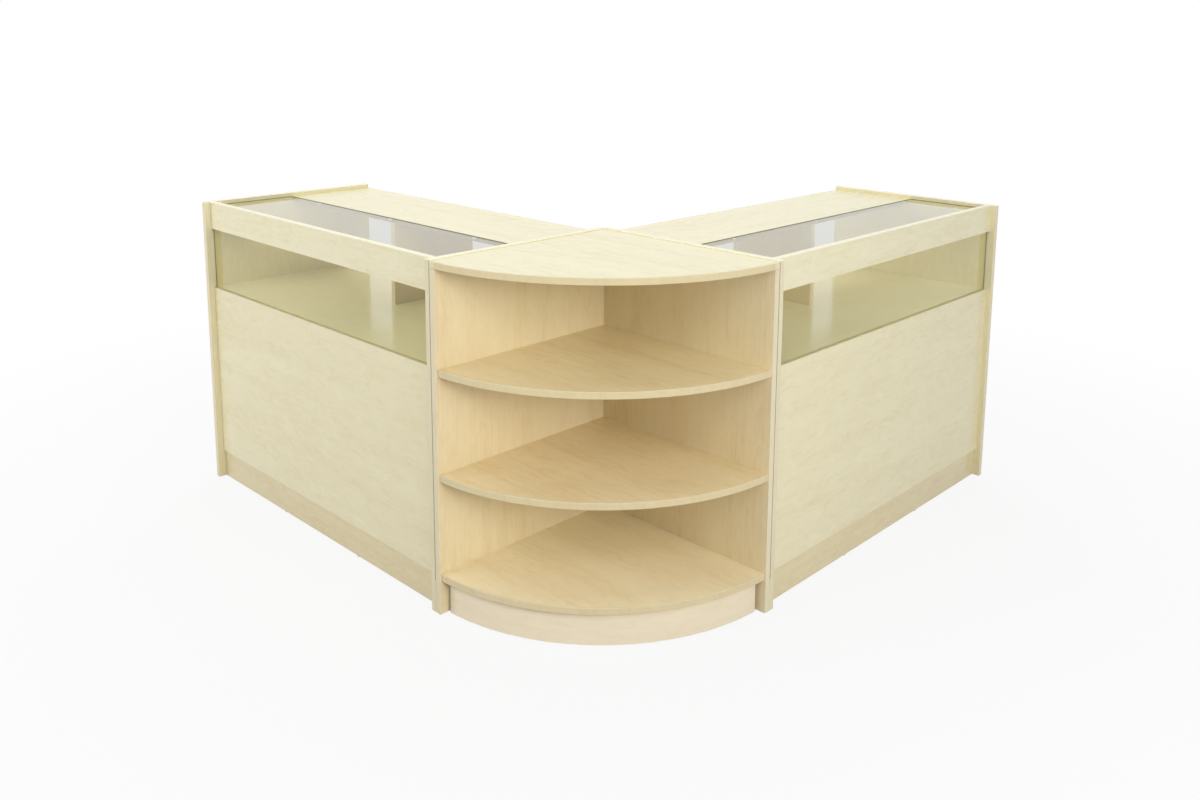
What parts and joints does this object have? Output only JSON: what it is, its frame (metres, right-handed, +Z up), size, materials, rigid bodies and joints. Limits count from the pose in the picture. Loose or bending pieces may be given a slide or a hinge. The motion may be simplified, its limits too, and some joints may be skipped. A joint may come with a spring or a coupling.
{
  "type": "corner shop counter set",
  "caption": "Shop counter in pale maple-faced board: glazed display counters at a right angle with an open quadrant shelf unit filling the outer corner.",
  "frame": {"origin": "on the floor, under the middle of the set's overall box; the bottoms of the glides are at Z = 0", "axes": "+Z up; the left counter lies along X with its front facing -Y, the right counter lies along Y with its front facing +X, and the quadrant fills the corner at +X and -Y"},
  "size_m": [1.8, 1.8, 0.92],
  "materials": {
    "maple_board": "satin maple-effect melamine facing with matching edge banding",
    "maple_lipping": "satin plastic lipping printed to match the maple facing",
    "plinth_board": "satin maple-effect melamine facing",
    "clear_glass": "clear toughened float glass with polished edges",
    "clear_plastic": "clear moulded plastic",
    "grey_plastic": "pale grey moulded plastic",
    "zinc_plated_steel": "bright zinc plating",
    "zinc_alloy": "die-cast zinc alloy",
    "beech": "fluted beech dowel, unfinished"
  },
  "bodies": {
    "root": {"left_inner_end_panel": "maple_board", "left_outer_end_panel": "maple_board", "left_fascia": "maple_board", "left_front_panel": "maple_board", "left_plinth": "plinth_board", "left_rear_plinth": "plinth_board", "left_base_board": "maple_board", "left_display_deck": "maple_board", "left_worktop": "maple_board", "left_display_divider": "maple_board", "left_storage_divider": "maple_board", "left_storage_shelf_inner": "maple_board", "left_storage_shelf_outer": "maple_board", "left_front_glass": "clear_glass", "left_top_glass": "clear_glass", "left_glass_pegs": "clear_plastic", "left_shelf_pegs": "zinc_plated_steel", "left_cams": "zinc_alloy", "left_cam_bolts": "zinc_plated_steel", "left_dowels": "beech", "left_glides": "grey_plastic", "left_joining_screws": "zinc_plated_steel", "left_lippings": "maple_lipping", "right_inner_end_panel": "maple_board", "right_outer_end_panel": "maple_board", "right_fascia": "maple_board", "right_front_panel": "maple_board", "right_plinth": "plinth_board", "right_rear_plinth": "plinth_board", "right_base_board": "maple_board", "right_display_deck": "maple_board", "right_worktop": "maple_board", "right_display_divider": "maple_board", "right_storage_divider": "maple_board", "right_storage_shelf_inner": "maple_board", "right_storage_shelf_outer": "maple_board", "right_front_glass": "clear_glass", "right_top_glass": "clear_glass", "right_glass_pegs": "clear_plastic", "right_shelf_pegs": "zinc_plated_steel", "right_cams": "zinc_alloy", "right_cam_bolts": "zinc_plated_steel", "right_dowels": "beech", "right_glides": "grey_plastic", "right_joining_screws": "zinc_plated_steel", "right_lippings": "maple_lipping", "quadrant_top": "maple_board", "quadrant_left_side": "maple_board", "quadrant_right_side": "maple_board", "quadrant_upper_shelf": "maple_board", "quadrant_lower_shelf": "maple_board", "quadrant_base_shelf": "maple_board", "quadrant_plinth": "plinth_board", "quadrant_plinth_blocks": "plinth_board", "quadrant_cams": "zinc_alloy", "quadrant_cam_bolts": "zinc_plated_steel", "quadrant_dowels": "beech", "quadrant_glides": "grey_plastic", "quadrant_lippings": "maple_lipping"}
  },
  "joints": []
}
